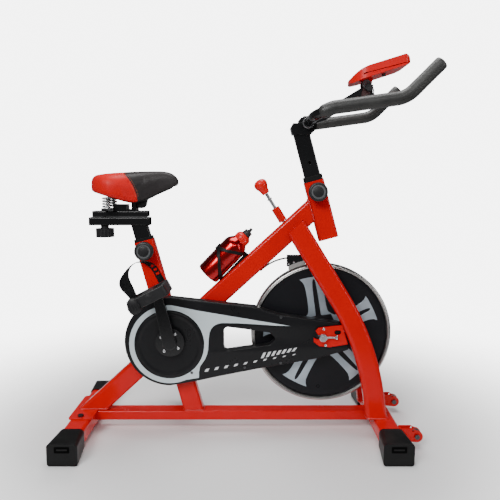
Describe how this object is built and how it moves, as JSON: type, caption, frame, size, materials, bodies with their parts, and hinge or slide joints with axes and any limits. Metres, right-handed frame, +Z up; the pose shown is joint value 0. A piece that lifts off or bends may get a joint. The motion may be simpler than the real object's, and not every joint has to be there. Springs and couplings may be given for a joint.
{
  "type": "indoor spin bike",
  "caption": "Indoor spin bike with a weighted flywheel, belt drive under a guard, sliding saddle, height-set handlebar with console, friction brake and bottle.",
  "frame": {"origin": "on the floor, midway between the front, rear, left and right ends", "axes": "+X forwards towards the handlebar, +Y to the rider's left, +Z up"},
  "size_m": [1.0561, 0.496, 1.1252],
  "materials": {
    "frame_paint": "gloss powder coat, red",
    "black_paint": "satin black paint",
    "cap_plastic": "moulded black plastic",
    "guard_plastic": "satin black plastic",
    "cover_plastic": "black cover disc",
    "knob_plastic": "textured black plastic",
    "red_plastic": "red gloss plastic",
    "steel": "bright steel",
    "flywheel_iron": "turned rim",
    "bolt_chrome": "zinc plated",
    "belt_rubber": "ribbed belt",
    "wheel_rubber": "solid rubber",
    "foam": "closed cell foam",
    "strap_rubber": "flexible strap",
    "felt": "pressed felt",
    "saddle_cover": "synthetic leather, black and red",
    "bottle_metal": "anodised red"
  },
  "bodies": {
    "frame": {"base_rail": "frame_paint", "rear_stabiliser": "frame_paint", "front_stabiliser": "frame_paint", "diagonal_tube": "frame_paint", "seat_tube": "frame_paint", "head_tube": "frame_paint", "fork_legs": "frame_paint", "dropout_plates": "frame_paint", "wheel_brackets": "frame_paint", "end_caps": "cap_plastic", "post_collars": "cap_plastic", "guard_outer": "guard_plastic", "guard_inner": "guard_plastic", "frame_bolts": "bolt_chrome", "flywheel_axle": "steel", "bottom_bracket_bearings": "steel", "drive_belt": "belt_rubber", "bottle_cage": "cap_plastic"},
    "flywheel": {"flywheel": "flywheel_iron", "flywheel_covers": "cover_plastic", "flywheel_hub": "steel"},
    "crankset": {"crank_spindle": "steel", "drive_pulley": "guard_plastic", "crank_arm_right": "black_paint", "crank_arm_left": "black_paint"},
    "pedal_right": {"pedal_right": "knob_plastic", "pedal_strap_right": "strap_rubber"},
    "pedal_left": {"pedal_left": "knob_plastic", "pedal_strap_left": "strap_rubber"},
    "brake_rod": {"brake_rod": "steel"},
    "brake_knob": {"brake_knob": "red_plastic"},
    "brake_arm": {"brake_arm": "black_paint", "brake_pad": "felt"},
    "seat_post": {"seat_post": "black_paint"},
    "saddle": {"saddle_slider": "black_paint", "saddle_mount": "black_paint", "saddle_springs": "bolt_chrome", "saddle_shell": "cap_plastic", "saddle_cushion": "saddle_cover"},
    "slider_knob": {"slider_knob": "knob_plastic"},
    "seat_pin": {"seat_pin": "knob_plastic"},
    "handlebar_pin": {"handlebar_pin": "knob_plastic"},
    "handlebar": {"handlebar_post": "black_paint", "handlebar_clamp": "black_paint", "handlebar": "black_paint", "handlebar_grips": "foam", "console_arm": "black_paint"},
    "console": {"console_base": "red_plastic", "console_top": "red_plastic"},
    "console_button": {"console_button": "knob_plastic"},
    "console_knob": {"console_knob": "knob_plastic"},
    "bottle": {"bottle": "bottle_metal", "bottle_cap": "bottle_metal"},
    "bottle_nozzle": {"bottle_nozzle": "knob_plastic"},
    "transport_wheel_right": {"transport_wheel_right": "wheel_rubber"},
    "transport_wheel_left": {"transport_wheel_left": "wheel_rubber"},
    "levelling_wheel_rear_right": {"levelling_wheel_rear_right": "knob_plastic"},
    "levelling_wheel_rear_left": {"levelling_wheel_rear_left": "knob_plastic"},
    "levelling_wheel_front_right": {"levelling_wheel_front_right": "knob_plastic"},
    "levelling_wheel_front_left": {"levelling_wheel_front_left": "knob_plastic"}
  },
  "joints": [
    {"name": "flywheel_spin", "type": "hinge", "parent": "frame", "child": "flywheel", "pos_m": [0.243, 0, 0.308], "axis": [0, 1, 0], "continuous": true},
    {"name": "crank_spin", "type": "hinge", "parent": "frame", "child": "crankset", "pos_m": [-0.213, 0, 0.293], "axis": [0, 1, 0], "continuous": true},
    {"name": "pedal_right_spin", "type": "hinge", "parent": "crankset", "child": "pedal_right", "pos_m": [-0.25012, 0, 0.45377], "axis": [0, 1, 0], "continuous": true},
    {"name": "pedal_left_spin", "type": "hinge", "parent": "crankset", "child": "pedal_left", "pos_m": [-0.17588, 0, 0.13223], "axis": [0, 1, 0], "continuous": true},
    {"name": "brake_push", "type": "slide", "parent": "frame", "child": "brake_rod", "axis": [0.5314, 0, -0.8471], "range_m": [0, 0.003], "stiffness_N_per_m": 2500, "springref_m": -0.002},
    {"name": "brake_knob_turn", "type": "hinge", "parent": "brake_rod", "child": "brake_knob", "pos_m": [0.062, 0, 0.752], "axis": [0.5314, 0, -0.8471], "range_deg": [-720, 720]},
    {"name": "brake_arm_flex", "type": "hinge", "parent": "frame", "child": "brake_arm", "pos_m": [0.058, 0, 0.4984], "axis": [0, 1, 0], "range_deg": [0, 1.11], "stiffness_Nm_per_rad": 60, "springref_deg": -2.86},
    {"name": "seat_height", "type": "slide", "parent": "frame", "child": "seat_post", "axis": [-0.2639, 0, 0.9646], "range_m": [-0.015, 0.15]},
    {"name": "seat_fore_aft", "type": "slide", "parent": "seat_post", "child": "saddle", "axis": [1, 0, 0], "range_m": [-0.03, 0.03]},
    {"name": "slider_knob_turn", "type": "hinge", "parent": "saddle", "child": "slider_knob", "pos_m": [-0.413, 0, 0.615], "axis": [0, 0, 1], "range_deg": [-720, 720]},
    {"name": "seat_pin_pull", "type": "slide", "parent": "frame", "child": "seat_pin", "axis": [0, -1, 0], "range_m": [0, 0.012], "stiffness_N_per_m": 600, "springref_m": -0.01},
    {"name": "handlebar_pin_pull", "type": "slide", "parent": "frame", "child": "handlebar_pin", "axis": [0, -1, 0], "range_m": [0, 0.012], "stiffness_N_per_m": 600, "springref_m": -0.01},
    {"name": "handlebar_height", "type": "slide", "parent": "frame", "child": "handlebar", "axis": [-0.2639, 0, 0.9646], "range_m": [-0.048, 0.048]},
    {"name": "console_tilt", "type": "hinge", "parent": "handlebar", "child": "console", "pos_m": [0.371, 0, 1.04], "axis": [0, 1, 0], "range_deg": [-15, 10]},
    {"name": "console_button_press", "type": "slide", "parent": "console", "child": "console_button", "axis": [0.2924, 0, -0.9563], "range_m": [0, 0.0015], "stiffness_N_per_m": 400, "springref_m": -0.001},
    {"name": "console_knob_turn", "type": "hinge", "parent": "handlebar", "child": "console_knob", "pos_m": [0.371, 0, 1.04], "axis": [0, 1, 0], "range_deg": [-360, 360]},
    {"name": "bottle_lift", "type": "slide", "parent": "frame", "child": "bottle", "axis": [0.6947, 0, 0.7193], "range_m": [0, 0.05]},
    {"name": "nozzle_pull", "type": "slide", "parent": "bottle", "child": "bottle_nozzle", "axis": [0.6947, 0, 0.7193], "range_m": [0, 0.006]},
    {"name": "transport_wheel_right_spin", "type": "hinge", "parent": "frame", "child": "transport_wheel_right", "pos_m": [0.509, -0.131, 0.035], "axis": [0, 1, 0], "continuous": true},
    {"name": "transport_wheel_left_spin", "type": "hinge", "parent": "frame", "child": "transport_wheel_left", "pos_m": [0.509, 0.131, 0.035], "axis": [0, 1, 0], "continuous": true},
    {"name": "levelling_wheel_rear_right_turn", "type": "hinge", "parent": "frame", "child": "levelling_wheel_rear_right", "pos_m": [-0.484, -0.231, 0.039], "axis": [0, 0, 1], "range_deg": [-720, 720]},
    {"name": "levelling_wheel_rear_left_turn", "type": "hinge", "parent": "frame", "child": "levelling_wheel_rear_left", "pos_m": [-0.484, 0.231, 0.039], "axis": [0, 0, 1], "range_deg": [-720, 720]},
    {"name": "levelling_wheel_front_right_turn", "type": "hinge", "parent": "frame", "child": "levelling_wheel_front_right", "pos_m": [0.43, -0.231, 0.039], "axis": [0, 0, 1], "range_deg": [-720, 720]},
    {"name": "levelling_wheel_front_left_turn", "type": "hinge", "parent": "frame", "child": "levelling_wheel_front_left", "pos_m": [0.43, 0.231, 0.039], "axis": [0, 0, 1], "range_deg": [-720, 720]}
  ],
  "couplings": [
    {"joint": "crank_spin", "follows": "flywheel_spin", "ratio": 0.31579},
    {"joint": "brake_arm_flex", "follows": "brake_push", "rad_per_m": 6.4}
  ]
}
